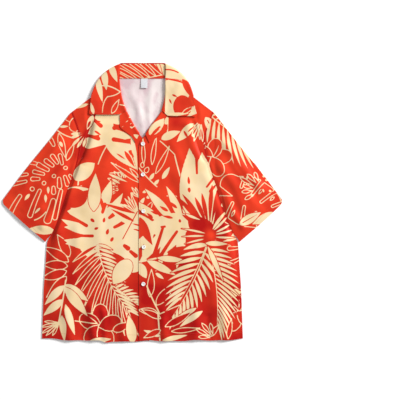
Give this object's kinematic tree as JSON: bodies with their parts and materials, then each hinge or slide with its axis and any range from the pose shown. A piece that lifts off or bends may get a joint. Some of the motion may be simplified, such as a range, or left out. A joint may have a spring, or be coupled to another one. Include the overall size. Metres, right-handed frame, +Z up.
{
  "type": "hawaiian shirt",
  "caption": "Short-sleeved boxy shirt with an open camp collar and a leaf and flower print, buttoned up and laid flat on its back.",
  "frame": {"origin": "middle of the laid-out shirt's outline, on the surface that it lies on", "axes": "+X to the wearer's left, +Y from the hem to the collar, +Z up out of the front"},
  "size_m": [0.809, 0.8048, 0.009],
  "materials": {
    "shirt_cloth": "smooth woven cloth with a soft sheen, red with cream leaves",
    "label": "plain white woven tape",
    "buttons": "white, polished, pearly"
  },
  "bodies": {
    "root": {"back": "shirt_cloth", "front_right": "shirt_cloth", "front_left": "shirt_cloth", "lapel_right": "shirt_cloth", "lapel_left": "shirt_cloth", "sleeve_right": "shirt_cloth", "sleeve_left": "shirt_cloth", "collar_band": "shirt_cloth", "collar": "shirt_cloth", "label": "label", "button_1": "buttons", "button_2": "buttons", "button_3": "buttons", "button_4": "buttons", "button_5": "buttons"}
  },
  "joints": []
}
